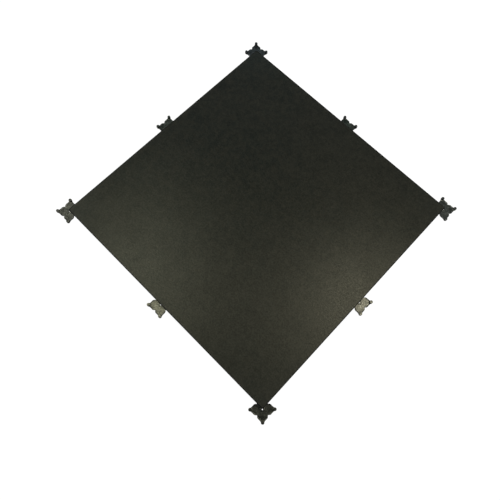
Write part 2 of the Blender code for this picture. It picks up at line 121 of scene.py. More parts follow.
class Net:
    """A material being built, with short ways to add nodes in object coordinates."""

    def __init__(self, name):
        self.material = bpy.data.materials.new(name)
        self.material.use_nodes = True
        self.tree = self.material.node_tree
        self.shader = self.tree.nodes["Principled BSDF"]
        self.place = self.add("ShaderNodeTexCoord").outputs["Object"]

    def add(self, kind, inputs=None, **settings):
        node = self.tree.nodes.new(kind)
        for key, value in settings.items():
            setattr(node, key, value)
        for key, value in (inputs or {}).items():
            self.feed(node.inputs[key], value)
        return node

    def feed(self, socket, value):
        """Links another node's output to an input, or sets the input's own value."""
        if isinstance(value, bpy.types.NodeSocket):
            self.tree.links.new(value, socket)
        elif socket.type == "RGBA":
            socket.default_value = colour(value)
        else:
            socket.default_value = value

    def noise(self, scale, detail, rough, stretch=None, distortion=0.0):
        inputs = {
            "Scale": scale,
            "Detail": detail,
            "Roughness": rough,
            "Distortion": distortion,
        }
        node = self.add("ShaderNodeTexNoise", inputs)
        place = self.place
        if stretch:
            mapping = self.add("ShaderNodeMapping", {"Scale": stretch, "Vector": place})
            place = mapping.outputs["Vector"]
        self.feed(node.inputs["Vector"], place)
        return node.outputs["Fac"]

    def cells(self, scale, feature="SMOOTH_F1", output="Distance"):
        inputs = {"Scale": scale, "Vector": self.place}
        return self.add("ShaderNodeTexVoronoi", inputs, feature=feature).outputs[output]

    def ramp(self, source, stops):
        node = self.add("ShaderNodeValToRGB", {"Fac": source})
        fill_ramp(node.color_ramp, stops)
        return node.outputs["Color"]

    def span(self, source, start, end, low, high):
        """Carries source values start..end to low..high, held at both ends."""
        inputs = {
            "From Min": start,
            "From Max": end,
            "To Min": low,
            "To Max": high,
            "Value": source,
        }
        return self.add("ShaderNodeMapRange", inputs).outputs["Result"]

    def mix(self, factor, base, over, blend="MIX"):
        inputs = {0: factor, 6: base, 7: over}
        return self.add("ShaderNodeMix", inputs, data_type="RGBA", blend_type=blend).outputs[2]

    def tint(self, base, mask, over, start, end, amount, blend="MIX"):
        """Lays a colour over base, from none where mask is at start to amount at end."""
        return self.mix(self.span(mask, start, end, 0.0, amount), base, over, blend)

    def math(self, operation, a, b=0.0):
        return self.add("ShaderNodeMath", {0: a, 1: b}, operation=operation).outputs[0]

    def bump(self, height, distance, strength, after=None):
        inputs = {"Strength": strength, "Distance": distance, "Height": height}
        if after is not None:
            inputs["Normal"] = after
        return self.add("ShaderNodeBump", inputs).outputs["Normal"]

    def axis(self, name):
        return self.add("ShaderNodeSeparateXYZ", {0: self.place}).outputs[name]

    def finish(self, base, rough, metal, normal=None, specular=None):
        for key, value in (
            ("Base Color", base),
            ("Roughness", rough),
            ("Metallic", metal),
            ("Normal", normal),
            ("Specular IOR Level", specular),
        ):
            if value is not None:
                self.feed(self.shader.inputs[key], value)
        return self.material


# ---------------------------------------------------------------- materials
def make_skin():
    """Anti-slip sheet: fine pebbled grain, mottled olive black, duller where it is scuffed."""
    net = Net("deck_skin_anti_slip")
    broad = net.noise(scale=2.1, detail=4, rough=0.55)
    mid = net.noise(scale=38, detail=5, rough=0.70, distortion=0.3)
    grain = net.noise(scale=155, detail=3, rough=0.80)
    clump = net.noise(scale=72, detail=2, rough=0.6)
    fine = net.noise(scale=520, detail=2, rough=0.6)
    olive = [
        (0.34, (0.0090, 0.0126, 0.0114)),
        (0.50, (0.0114, 0.0141, 0.0122)),
        (0.66, (0.0150, 0.0160, 0.0127)),
    ]
    base = net.ramp(broad, olive)
    base = net.tint(base, mid, (0.0236, 0.0234, 0.0180), start=0.40, end=0.64, amount=0.9)
    base = net.tint(base, grain, (0.0345, 0.0350, 0.0270), start=0.52, end=0.64, amount=0.20)
    base = net.tint(base, grain, (0.0012, 0.0022, 0.0019), start=0.47, end=0.36, amount=0.22)
    base = net.tint(base, clump, (0.0290, 0.0290, 0.0225), start=0.50, end=0.66, amount=0.34)
    base = net.tint(base, clump, (0.0030, 0.0044, 0.0040), start=0.50, end=0.34, amount=0.34)
    warm = net.noise(scale=150, detail=2, rough=0.5, stretch=(1.0, 1.07, 1.0))
    base = net.tint(base, warm, (0.0250, 0.0190, 0.0125), start=0.58, end=0.68, amount=0.26)
    base = net.tint(base, fine, (0.0500, 0.0480, 0.0400), start=0.58, end=0.72, amount=0.28)

    # painted light and shade: paler towards the back left, with a painted shade darkening it towards
    # the front right
    pale = net.math("SUBTRACT", net.axis("Y"), net.axis("X"))
    # painted light: this grey lifts the back left
    grey = (0.0056, 0.0062, 0.0070)
    base = net.tint(base, pale, grey, start=0.05, end=0.90, amount=1.0, blend="ADD")
    # painted shade: a dark band towards the front right, fading out at the very corner
    painted_shade_front_right = net.math(
        "MULTIPLY",
        net.span(pale, start=0.30, end=-0.55, low=0.0, high=0.20),
        net.span(pale, start=-0.85, end=-0.62, low=0.0, high=1.0),
    )
    base = net.mix(painted_shade_front_right, base, (0.0060, 0.0058, 0.0052))

    # painted light: paler corners, front right, back left, front left, back right, the back left one
    # a blue-green cast
    add = {"amount": 1.0, "blend": "ADD"}
    base = net.tint(base, pale, (0.0072, 0.0074, 0.0068), start=-0.82, end=-1.0, **add)
    base = net.tint(base, pale, (0.0005, 0.0042, 0.0056), start=0.78, end=1.0, **add)
    side = net.math("ADD", net.axis("Y"), net.axis("X"))
    base = net.tint(base, side, (0.0160, 0.0172, 0.0158), start=-0.84, end=-1.0, **add)
    base = net.tint(base, side, (0.0064, 0.0072, 0.0072), start=0.84, end=1.0, **add)

    # thin, long, few scuffs, one set along X and one along Y
    scuff_x = net.noise(scale=7, detail=2, rough=0.5, stretch=(1.0, 26.0, 1.0))
    scuff_y = net.noise(scale=8, detail=2, rough=0.5, stretch=(22.0, 1.4, 1.0))
    scuff = net.math(
        "MAXIMUM",
        net.span(scuff_x, start=0.70, end=0.76, low=0.0, high=0.16),
        net.span(scuff_y, start=0.71, end=0.77, low=0.0, high=0.14),
    )
    base = net.mix(scuff, base, (0.060, 0.056, 0.046))
    rough = net.math(
        "ADD",
        net.span(grain, start=0.35, end=0.65, low=0.31, high=0.41),
        net.span(broad, start=0.3, end=0.7, low=-0.01, high=0.02),
    )
    normal = net.bump(net.cells(520), distance=0.00025, strength=0.35)
    normal = net.bump(grain, distance=0.00110, strength=0.33, after=normal)
    waves = net.noise(scale=16, detail=3, rough=0.5)
    normal = net.bump(waves, distance=0.0010, strength=0.06, after=normal)

    # the pebbles' crowns are polished and their valleys are dull
    crowns = net.noise(scale=176, detail=3, rough=0.7)
    crowns = net.span(crowns, start=0.36, end=0.64, low=0.36, high=0.57)
    patches = net.noise(scale=11, detail=3, rough=0.6)
    patches = net.span(patches, start=0.35, end=0.65, low=-0.03, high=0.03)
    gloss = net.math("ADD", crowns, patches)
    net.feed(net.shader.inputs["Specular Tint"], (0.95, 0.95, 0.79))
    return net.finish(base, rough, metal=0.0, normal=normal, specular=gloss)


def make_trim():
    net = Net("black_anodised_trim")
    brushed = net.noise(scale=60, detail=4, rough=0.6, stretch=(1.0, 1.0, 38.0))
    patch = net.noise(scale=9, detail=4, rough=0.6)
    base = net.ramp(brushed, [(0.35, (0.012, 0.012, 0.0125)), (0.65, (0.022, 0.022, 0.0215))])
    base = net.tint(base, patch, (0.045, 0.044, 0.041), start=0.62, end=0.78, amount=0.4)
    nicks = net.noise(scale=340, detail=2, rough=0.5)
    base = net.tint(base, nicks, (0.22, 0.22, 0.21), start=0.73, end=0.78, amount=0.6)
    rough = net.span(brushed, start=0.3, end=0.7, low=0.34, high=0.50)
    normal = net.bump(brushed, distance=0.0001, strength=0.5)
    return net.finish(base, rough, metal=0.75, normal=normal)


def make_cast():
    """Painted casting: paler and metallic where it faces up, black elsewhere, a painted split of
    light and shade by facing.
    """
    net = Net("cast_hub_paint")
    broad = net.noise(scale=34, detail=4, rough=0.6)
    fine = net.noise(scale=300, detail=3, rough=0.7)
    base = net.ramp(broad, [(0.30, (0.098, 0.102, 0.092)), (0.70, (0.150, 0.151, 0.135))])
    base = net.tint(base, fine, (0.034, 0.036, 0.033), start=0.50, end=0.66, amount=0.75)
    flecks = net.noise(scale=240, detail=2, rough=0.6)
    base = net.tint(base, flecks, (0.30, 0.30, 0.27), start=0.56, end=0.70, amount=0.55)
    patch = net.noise(scale=118, detail=3, rough=0.65)
    base = net.tint(base, patch, (0.036, 0.038, 0.035), start=0.50, end=0.34, amount=0.50)
    base = net.tint(base, patch, (0.27, 0.27, 0.24), start=0.52, end=0.68, amount=0.50)
    # painted light: each casting's object colour is a tone for the light on it
    painted_light_tone = net.add("ShaderNodeObjectInfo").outputs["Color"]
    base = net.mix(1.0, base, painted_light_tone, "MULTIPLY")
    wear = net.noise(scale=95, detail=5, rough=0.7)
    base = net.tint(base, wear, (0.26, 0.255, 0.23), start=0.62, end=0.74, amount=0.5)
    rough = net.math(
        "ADD",
        net.span(broad, start=0.3, end=0.7, low=0.31, high=0.40),
        net.span(wear, start=0.6, end=0.75, low=0.0, high=-0.05),
    )

    # painted shade: flanks, pegs' sides and underside are painted black, and only the up-facing
    # surfaces keep the paler metallic paint
    facing = net.add("ShaderNodeSeparateXYZ")
    geometry = net.add("ShaderNodeNewGeometry")
    net.feed(facing.inputs[0], geometry.outputs["True Normal"])
    up = net.span(facing.outputs["Z"], start=0.45, end=0.85, low=0.0, high=1.0)
    shade = net.noise(scale=90, detail=4, rough=0.6)
    black = net.ramp(shade, [(0.3, (0.0100, 0.0105, 0.0110)), (0.7, (0.0190, 0.0190, 0.0185))])
    black = net.tint(black, wear, (0.11, 0.108, 0.10), start=0.66, end=0.74, amount=0.4)
    base = net.mix(up, black, base)
    rough = net.math("ADD", rough, net.span(up, start=0.0, end=1.0, low=0.22, high=0.0))
    sand = net.noise(scale=700, detail=3, rough=0.65)
    normal = net.bump(sand, distance=0.00025, strength=0.65)
    normal = net.bump(net.cells(170), distance=0.0004, strength=0.30, after=normal)
    metal = net.math("MULTIPLY", up, 0.88)
    specular = net.span(up, start=0.0, end=1.0, low=0.10, high=0.50)
    return net.finish(base, rough, metal, normal, specular)


def make_powder():
    net = Net("powder_coated_tube")
    broad = net.noise(scale=14, detail=4, rough=0.6)
    base = net.ramp(broad, [(0.3, (0.0125, 0.0125, 0.0130)), (0.7, (0.0215, 0.0212, 0.0205))])
    chips = net.noise(scale=130, detail=4, rough=0.7)
    base = net.tint(base, chips, (0.20, 0.19, 0.18), start=0.735, end=0.76, amount=0.7)
    dust = net.noise(scale=5, detail=6, rough=0.7)
    base = net.tint(base, dust, (0.060, 0.057, 0.050), start=0.5, end=0.8, amount=0.25)
    rough = net.span(broad, start=0.3, end=0.7, low=0.42, high=0.56)
    orange_peel = net.bump(net.cells(620), distance=0.00025, strength=0.5)
    return net.finish(base, rough, metal=0.0, normal=orange_peel, specular=0.55)


def make_zinc():
    net = Net("zinc_plated_fastener")
    broad = net.noise(scale=120, detail=4, rough=0.6)
    tones = [(0.3, (0.50, 0.50, 0.47)), (0.55, (0.62, 0.62, 0.61)), (0.75, (0.56, 0.54, 0.44))]
    base = net.ramp(broad, tones)
    grime = net.noise(scale=300, detail=4, rough=0.7)
    base = net.tint(base, grime, (0.13, 0.12, 0.105), start=0.60, end=0.75, amount=0.6)
    rough = net.span(broad, start=0.3, end=0.7, low=0.24, high=0.40)
    pits = net.noise(scale=1500, detail=2, rough=0.6)
    normal = net.bump(pits, distance=0.00008, strength=0.5)
    return net.finish(base, rough, metal=1.0, normal=normal)


def make_rubber():
    net = Net("moulded_rubber")
    broad = net.noise(scale=60, detail=4, rough=0.6)
    base = net.ramp(broad, [(0.3, (0.0095, 0.0095, 0.0098)), (0.7, (0.0190, 0.0185, 0.0178))])
    dust = net.noise(scale=240, detail=4, rough=0.7)
    base = net.tint(base, dust, (0.075, 0.070, 0.062), start=0.5, end=0.75, amount=0.3)
    rough = net.span(dust, start=0.3, end=0.7, low=0.66, high=0.86)
    grain = net.noise(scale=1100, detail=3, rough=0.6)
    normal = net.bump(grain, distance=0.0002, strength=0.6)
    return net.finish(base, rough, metal=0.0, normal=normal)


def make_galv():
    net = Net("galvanised_sheet")
    spangle = net.cells(60, "F1", "Color")
    tones = [(0.2, (0.34, 0.35, 0.36)), (0.55, (0.43, 0.44, 0.445)), (0.85, (0.52, 0.53, 0.535))]
    grey = net.ramp(spangle, tones)
    frost = net.noise(scale=420, detail=4, rough=0.65)
    base = net.tint(grey, frost, (0.31, 0.32, 0.33), start=0.4, end=0.7, amount=0.35)
    stain = net.noise(scale=3.1, detail=6, rough=0.7)
    base = net.tint(base, stain, (0.235, 0.230, 0.215), start=0.56, end=0.75, amount=0.35)
    rough = net.math(
        "ADD",
        net.ramp(spangle, [(0.2, 0.34), (0.8, 0.52)]),
        net.span(frost, start=0.4, end=0.7, low=0.0, high=0.08),
    )
    grain = net.noise(scale=700, detail=3, rough=0.6)
    normal = net.bump(grain, distance=0.00012, strength=0.4)
    return net.finish(base, rough, metal=0.85, normal=normal)


def make_ply():
    """Plies as a wave in height, alternating end grain and long grain."""
    two_plies = 0.0028
    waver = 0.0004
    net = Net("birch_plywood_core")
    height = net.axis("Z")
    wobble = net.noise(scale=18, detail=3, rough=0.5)
    shift = net.math("MULTIPLY", net.math("SUBTRACT", wobble, 0.5), waver)
    level = net.math("ADD", height, shift)
    wave = net.math("SINE", net.math("MULTIPLY", level, 2 * math.pi / two_plies))
    grain = net.noise(scale=30, detail=5, rough=0.6, stretch=(1.0, 16.0, 16.0), distortion=0.6)
    tones = [(0.25, (0.30, 0.19, 0.10)), (0.55, (0.50, 0.35, 0.21)), (0.8, (0.60, 0.44, 0.28))]
    wood = net.ramp(grain, tones)
    pores = net.noise(scale=500, detail=3, rough=0.6)
    end_grain = net.ramp(pores, [(0.3, (0.20, 0.12, 0.065)), (0.7, (0.33, 0.21, 0.12))])
    base = net.tint(end_grain, wave, wood, start=-0.2, end=0.2, amount=1.0)
    rough = net.span(grain, start=0.3, end=0.7, low=0.55, high=0.75)
    normal = net.bump(grain, distance=0.0002, strength=0.5)
    return net.finish(base, rough, metal=0.0, normal=normal)


SKIN = make_skin()
TRIM = make_trim()
CAST = make_cast()
TUBE = make_powder()
ZINC = make_zinc()
RUBBER = make_rubber()
GALV = make_galv()
PLY = make_ply()


# ---------------------------------------------------------------- object and mesh helpers
def add_object(name, data):
    ob = bpy.data.objects.new(name, data)
    bpy.context.scene.collection.objects.link(ob)
    return ob


def mesh_of(bm, name):
    mesh = bpy.data.meshes.new(name)
    bm.to_mesh(mesh)
    bm.free()
    return mesh


def smoothed(mesh, sharp=32):
    """Smooth shading, with edges turned by more than sharp degrees left crisp."""
    mesh.shade_smooth()
    mesh.set_sharp_from_angle(angle=math.radians(sharp))
    return mesh


def mesh_from(bm, name, sharp=32):
    bmesh.ops.recalc_face_normals(bm, faces=bm.faces)
    return smoothed(mesh_of(bm, name), sharp)


def piece(name, mesh, material, body, stands_for, at=(0, 0, 0), turn=0.0, bevel=None):
    """Places a visible piece that rides a body and stands for one CAD piece."""
    ob = add_object(name, mesh)
    if not mesh.materials:
        mesh.materials.append(material)
    ob.location = at
    ob.rotation_euler = (0, 0, turn)
    if bevel:
        rounding = ob.modifiers.new("edge_round", "BEVEL")
        rounding.width = bevel
        rounding.segments = 2
        rounding.limit_method = "ANGLE"
        rounding.angle_limit = math.radians(40)
        rounding.harden_normals = False
    flat = ob.modifiers.new("flat_faces_stay_flat", "WEIGHTED_NORMAL")
    flat.keep_sharp = True
    flat.weight = 80
    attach(ob, body)
    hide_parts(stands_for)


def ring(radius, count, centre=(0.0, 0.0)):
    angles = [2 * math.pi * i / count for i in range(count)]
    return [(centre[0] + radius * math.cos(a), centre[1] + radius * math.sin(a)) for a in angles]


def lathe(bm, profile, count, centre=(0.0, 0.0)):
    """Turned body from (radius, z) points.

    A profile from axis to axis is solid; otherwise its last point joins its first.
    """
    rows = []
    for radius, z in profile:
        points = [centre] if radius == 0 else ring(radius, count, centre)
        rows.append([bm.verts.new((x, y, z)) for x, y in points])
    pairs = list(zip(rows, rows[1:]))
    if profile[0][0] != 0 or profile[-1][0] != 0:
        pairs.append((rows[-1], rows[0]))
    for a, b in pairs:
        for i in range(count):
            j = (i + 1) % count
            if len(a) == 1:
                bm.faces.new((a[0], b[i], b[j]))
            elif len(b) == 1:
                bm.faces.new((a[i], b[0], a[j]))
            else:
                bm.faces.new((a[i], b[i], b[j], a[j]))


def turned_mesh(name, profile, count, centres=((0.0, 0.0),), sharp=32):
    bm = bmesh.new()
    for centre in centres:
        lathe(bm, profile, count, centre)
    return mesh_from(bm, name, sharp)


def bridge(bm, rows):
    """Faces between each closed row of vertices and the next."""
    for a, b in zip(rows, rows[1:]):
        for i in range(len(a)):
            j = (i + 1) % len(a)
            bm.faces.new((a[i], a[j], b[j], b[i]))


def prism_mesh(name, outline, bottom, top, sharp):
    bm = bmesh.new()
    low, high = [[bm.verts.new((x, y, z)) for x, y in outline] for z in (bottom, top)]
    bm.faces.new(list(reversed(low)))
    bm.faces.new(high)
    bridge(bm, [low, high])
    return mesh_from(bm, name, sharp)


def stacked_mesh(name, levels, sharp=32):
    """Closed body through levels of (outline, z), capped at both ends."""
    bm = bmesh.new()
    rows = [[bm.verts.new((x, y, z)) for x, y in outline] for outline, z in levels]
    bridge(bm, rows)
    bm.faces.new(list(reversed(rows[0])))
    bm.faces.new(rows[-1])
    return mesh_from(bm, name, sharp)


def boolean(mesh, tools, operation="DIFFERENCE"):
    body = add_object("work", mesh)
    helpers = []
    for i, tool in enumerate(tools):
        helper = add_object("tool%d" % i, tool)
        helpers.append(helper)
        cut = body.modifiers.new("b%d" % i, "BOOLEAN")
        cut.operation = operation
        cut.object = helper
        cut.solver = "EXACT"
    bpy.context.view_layer.update()
    evaluated = body.evaluated_get(bpy.context.evaluated_depsgraph_get())
    result = bpy.data.meshes.new_from_object(evaluated)
    for ob in [body] + helpers:
        bpy.data.objects.remove(ob, do_unlink=True)
    return smoothed(result)


def merge(meshes, name):
    bm = bmesh.new()
    for mesh in meshes:
        bm.from_mesh(mesh)
    return smoothed(mesh_of(bm, name))


def quarter_arc(x, y, radius, start, steps):
    """Points on a quarter turn about (x, y), anticlockwise from start degrees."""
    angles = [math.radians(start + 90.0 * i / steps) for i in range(steps + 1)]
    return [(x + radius * math.cos(a), y + radius * math.sin(a)) for a in angles]


def rounded_square(half, radius, steps):
    points = []
    far = half - radius
    for x, y, start in ((far, far, 0), (-far, far, 90), (-far, -far, 180), (far, -far, 270)):
        points += quarter_arc(x, y, radius, start, steps)
    return points


def bore_profile(radius, bottom, top):
    """Plain solid cylinder."""
    return [(0, bottom), (radius, bottom), (radius, top), (0, top)]


def chamfered_hole(radius, bottom, top, lip):
    """Cutter for a through hole with a chamfer of size lip at both mouths."""
    clear = 0.00001
    wide = radius + lip
    return [
        (0, bottom - OVERSHOOT),
        (wide, bottom - OVERSHOOT),
        (wide, bottom - clear),
        (radius, bottom + lip),
        (radius, top - lip),
        (wide, top + clear),
        (wide, top + OVERSHOOT),
        (0, top + OVERSHOOT),
    ]


# ---------------------------------------------------------------- deck
def inset_octagon(half, cut_line, inset):
    """Square with cut corners, moved in; cut_line is x + y along the first cut."""
    half -= inset
    c = cut_line - math.sqrt(2) * inset - half
    return [
        (half, -c), (half, c), (c, half), (-c, half),
        (-half, c), (-half, -c), (-c, -half), (c, -half),
    ]


def octagon_levels(half, levels):
    """Levels are (inset, z)."""
    return [(inset_octagon(half, SKIN_CUT_LINE, inset), z) for inset, z in levels]


def skin_mesh():
    levels = [
        (0.0, SKIN_LOW.z),
        (0.0, DECK_TOP - 0.0006),
        (0.00018, DECK_TOP - 0.00022),
        (0.0006, DECK_TOP),
    ]
    return stacked_mesh("skin", octagon_levels(SKIN_HALF, levels), 50)


def trim_mesh():
    """Edge profile along Y at +X: rounded web, two fine grooves outside, a tongue inside."""
    mid = (DECK_BOTTOM + DECK_TOP) / 2
    outside = DECK_HALF
    inside = outside - TRIM_WEB
    edge_r = 0.0008
    groove_depth = 0.00035
    tongue_tip = inside - 0.006
    tongue_half = 0.001

    # (x, z) anticlockwise; the last four points are the tongue
    section = [(inside, DECK_BOTTOM)]
    section += quarter_arc(outside - edge_r, DECK_BOTTOM + edge_r, edge_r, -90, 5)
    for groove in (mid - 0.0035, mid + 0.0035):
        section += [
            (outside, groove - 0.0006),
            (outside - groove_depth, groove - 0.0003),
            (outside - groove_depth, groove + 0.0003),
            (outside, groove + 0.0006),
        ]
    section += quarter_arc(outside - edge_r, DECK_TOP - edge_r, edge_r, 0, 5)
    section += [
        (inside + 0.0002, DECK_TOP),
        (inside, DECK_TOP - 0.0002),
        (inside, mid + tongue_half),
        (tongue_tip, mid + tongue_half),
        (tongue_tip, mid - tongue_half),
        (inside, mid - tongue_half),
    ]

    # the web ends square and the tongue in a mitre
    end = DECK_HALF - CORNER_CUT - GAP
    ends = [end - max(0.0, inside - x) for x, _ in section]
    bm = bmesh.new()
    front = [bm.verts.new((x, -y, z)) for (x, z), y in zip(section, ends)]
    back = [bm.verts.new((x, y, z)) for (x, z), y in zip(section, ends)]
    count = len(section)
    web = tuple(range(count - 3)) + (count - 1,)
    tongue = tuple(range(count - 4, count))
    for corners in (web, tongue):
        bm.faces.new([front[i] for i in corners])
        bm.faces.new([back[i] for i in reversed(corners)])
    bridge(bm, [back, front])
    return mesh_from(bm, "trim", 35)


def cap_mesh():
    """Four-sided filler over the cut corner at +X +Y."""
    near = DECK_HALF - CORNER_CUT
    inner = DECK_HALF - TRIM_WEB * math.sqrt(2)
    outline = [(DECK_HALF, near), (near, DECK_HALF), (near, inner), (inner, near)]
    return prism_mesh("cap", outline, DECK_BOTTOM, DECK_TOP - 0.0002, 35)


def sockets():
    """Peg places of all nine hubs that fall under the deck."""
    limit = DECK_HALF - 0.01
    out = []
    for hub_x in (-PITCH, 0, PITCH):
        for hub_y in (-PITCH, 0, PITCH):
            for k in range(4):
                angle = math.radians(45 + 90 * k)
                x = hub_x + PEG_ARM * math.cos(angle)
                y = hub_y + PEG_ARM * math.sin(angle)
                if abs(x) < limit and abs(y) < limit:
                    out.append((x, y))
    return out


def sheet_mesh():
    """Backing sheet with round drawn cups, each with a rolled lip at its mouth."""
    thick = 0.001
    low = SHEET_LOW.z
    top = SHEET_HIGH.z
    roof = top - thick
    edge = 0.0002
    levels = [(edge, low), (0.0, low + edge), (0.0, low + thick - edge), (edge, low + thick)]
    sheet = stacked_mesh("sheet", octagon_levels(SHEET_HIGH.x, levels))
    # (radius, z) of a cup's outside and of its cavity
    cup = [
        (0, low + thick / 2),
        (0.0112, low + thick / 2),
        (0.0112, top - 0.0022),
        (0.0105, top - 0.0007),
        (0.0090, top),
        (0, top),
    ]
    mouth = [
        (0, low - OVERSHOOT),
        (0.0118, low - OVERSHOOT),
        (0.0118, low - 0.00001),
        (0.0110, low + 0.0003),
        (0.0103, low + 0.0009),
        (0.0100, low + 0.0018),
        (0.0100, roof - 0.0014),
        (0.0094, roof - 0.0004),
        (0.0082, roof),
        (0, roof),
    ]
    centres = sockets()
    sheet = boolean(sheet, [turned_mesh("cups", cup, 40, centres)], "UNION")
    return boolean(sheet, [turned_mesh("mouths", mouth, 40, centres)])


# ---------------------------------------------------------------- hub plates
# Half of one leaf's outline, from the valley between leaves to the tip: (along, across) its axis
LEAF = [
    (0.0183, 0.0183), (0.0223, 0.0181), (0.0257, 0.0177), (0.0289, 0.0159),
    (0.0323, 0.0123), (0.0360, 0.0089), (0.0397, 0.0062), (0.0430, 0.0052),
    (0.0455, 0.0037), (0.0466, 0.0016), (0.0468, 0.0),
]
# The same as (angle from the axis, radius), with one more knot beyond each end
KNOTS = sorted((math.atan2(q, p), math.hypot(p, q)) for p, q in LEAF)
KNOTS = (
    [(-KNOTS[1][0], KNOTS[1][1])]
    + KNOTS
    + [(KNOTS[-1][0] + (KNOTS[-1][0] - KNOTS[-2][0]), KNOTS[-1][1])]
)
HUB_HOLE_R = 0.0021
# Spacing of the plate's top rings: shares of the field's width, then distances in from the edge
FIELD_STEPS = [
    0.0, 0.03, 0.07, 0.12, 0.16, 0.20, 0.25, 0.30, 0.35, 0.40,
    0.45, 0.50, 0.55, 0.60, 0.65, 0.70, 0.74, 0.78, 0.82,
]
FIELD_EDGE = 0.0062
BORDER_STEPS = [0.0050, 0.0038, 0.0026, 0.0018, 0.0012, 0.0008, 0.0004, 0.0]


def off_axis(angle):
    """Angle from the nearest leaf's axis, 0 to 45 degrees, in radians."""
    return abs((angle + math.pi / 4) % (math.pi / 2) - math.pi / 4)


def outline_r(angle):
    """Outline radius at an angle from a leaf's axis: Catmull-Rom through the knots."""
    angle = off_axis(angle)
    for i in range(len(LEAF) - 1):
        if angle <= KNOTS[i + 2][0] + 1e-9:
            break
    (a_before, r_before), (a0, r0), (a1, r1), (a_after, r_after) = KNOTS[i : i + 4]
    t = (angle - a0) / (a1 - a0)
    slope0 = (r1 - r_before) / (a1 - a_before) * (a1 - a0)
    slope1 = (r_after - r0) / (a_after - a0) * (a1 - a0)
    t2, t3 = t * t, t * t * t
    return (
        (2 * t3 - 3 * t2 + 1) * r0
        + (t3 - 2 * t2 + t) * slope0
        + (-2 * t3 + 3 * t2) * r1
        + (t3 - t2) * slope1
    )


def rise(value, start, width):
    """0 up to start, then 1 once width is passed."""
    return max(0.0, min(1.0, (value - start) / width))


def hub_top_z(angle, radius, edge_r):
    """Top height: rounded edge, raised border, shallow field, bosses at the hole and pegs."""
    edge = edge_r - radius
    edge_drop = 0.0009 * max(0.0, 1 - edge / 0.0012) ** 1.5
    angle = off_axis(angle)
    from_peg = math.hypot(radius * math.cos(angle) - PEG_ARM, radius * math.sin(angle))
    depth = 0.0005 * rise(edge, start=0.0026, width=0.0012)
    depth *= rise(radius, start=0.0070, width=0.0015)
    depth *= rise(from_peg, start=0.0064, width=0.0013)
    return PLATE_TOP - edge_drop - depth


def hub_plate_mesh():
    """Four-leaved plate with its leaves on the diagonals."""
    per_leaf = 64
    angles = []
    for k in range(4):
        for i in range(per_leaf):
            # samples gather towards the leaf's tip, where the outline turns fastest
            u = -1 + 2 * i / per_leaf
            bias = math.copysign(abs(u) ** 1.5, u)
            angles.append(math.pi / 2 * k + bias * math.pi / 4)
    bm = bmesh.new()
    columns = []
    for a in sorted(angle % (2 * math.pi) for angle in angles):
        edge_r = outline_r(a)
        field = edge_r - FIELD_EDGE - HUB_HOLE_R
        radii = [HUB_HOLE_R + field * step / FIELD_STEPS[-1] for step in FIELD_STEPS]
        radii += [edge_r - step for step in BORDER_STEPS]
        section = [(radius, hub_top_z(a, radius, edge_r)) for radius in radii]
        # down the side, with a small round at the bottom, and back to the hole
        section += [
            (edge_r, PLATE_BOTTOM + 0.0010),
            (edge_r - 0.0003, PLATE_BOTTOM + 0.0003),
            (edge_r - 0.0010, PLATE_BOTTOM),
            (edge_r * 0.72, PLATE_BOTTOM),
            (edge_r * 0.45, PLATE_BOTTOM),
            (HUB_HOLE_R, PLATE_BOTTOM),
        ]
        columns.append([bm.verts.new((r * math.cos(a), r * math.sin(a), z)) for r, z in section])
    bridge(bm, columns + columns[:1])
    plate = mesh_from(bm, "plate", 40)
    plate.transform(Matrix.Rotation(math.radians(45), 4, "Z"))
    return plate


def hub_mesh(studs):
    """Plate with four pegs on top and, in the quadrants listed in studs, studs below.

    Quadrants count anticlockwise from +X +Y.
    """
    plate = hub_plate_mesh()
    top = PLATE_TOP + PEG_H
    seat = POST_TOP - PLUG_T - GAP
    # (radius, z)
    peg = [
        (0, PLATE_TOP - 0.0022),
        (0.0058, PLATE_TOP - 0.0022),
        (0.0060, PLATE_TOP - 0.0003),
        (0.0060, PLATE_TOP + 0.0002),
        (0.0059, PLATE_TOP + 0.0009),
        (0.0058, PLATE_TOP + 0.0018),
        (0.0058, PLATE_TOP + 0.0050),
        (0.0058, top - 0.0010),
        (0.0057, top - 0.0005),
        (0.0054, top - 0.00012),
        (0.0049, top),
        (0, top),
    ]
    stud = [
        (0, seat - 0.0030),
        (0.0030, seat - 0.0029),
        (0.0045, seat - 0.0024),
        (0.0058, seat - 0.0012),
        (0.0062, seat - 0.0004),
        (0.0060, seat),
        (PIVOT_R, seat),
        (PIVOT_R, PLATE_BOTTOM + 0.002),
        (0, PLATE_BOTTOM + 0.002),
    ]
    angles = [math.radians(45 + 90 * k) for k in range(4)]
    centres = [(PEG_ARM * math.cos(a), PEG_ARM * math.sin(a)) for a in angles]
    pegs = turned_mesh("pegs", peg, 28, centres)
    stud_bodies = turned_mesh("studs", stud, 24, [centres[k] for k in studs])
    return boolean(plate, [pegs, stud_bodies], "UNION")


# ---------------------------------------------------------------- frames
def post_mesh(x):
    """Square post, hollow from below up to its plug, with a bore through the plug."""
    wall = 0.002
    plug_bottom = POST_TOP - PLUG_T
    mouth_r = BORE_R + 0.0006

    def shaft(name, half, radius, steps, bottom, top):
        outline = [(x + p, q) for p, q in rounded_square(half, radius, steps)]
        return stacked_mesh(name, [(outline, bottom), (outline, top)])

    body = shaft("post", POST / 2, 0.0022, 5, POST_BOTTOM, POST_TOP)
    hollow = shaft("hollow", POST / 2 - wall, 0.0008, 3, POST_BOTTOM - OVERSHOOT, plug_bottom)
    bore = [
        (0, plug_bottom - 0.005),
        (BORE_R, plug_bottom - 0.005),
        (BORE_R, POST_TOP - 0.0005),
        (mouth_r, POST_TOP + 0.0001),
        (mouth_r, POST_TOP + OVERSHOOT),
        (0, POST_TOP + OVERSHOOT),
    ]
    return boolean(body, [hollow, turned_mesh("bore", bore, 28, [(x, 0)])])


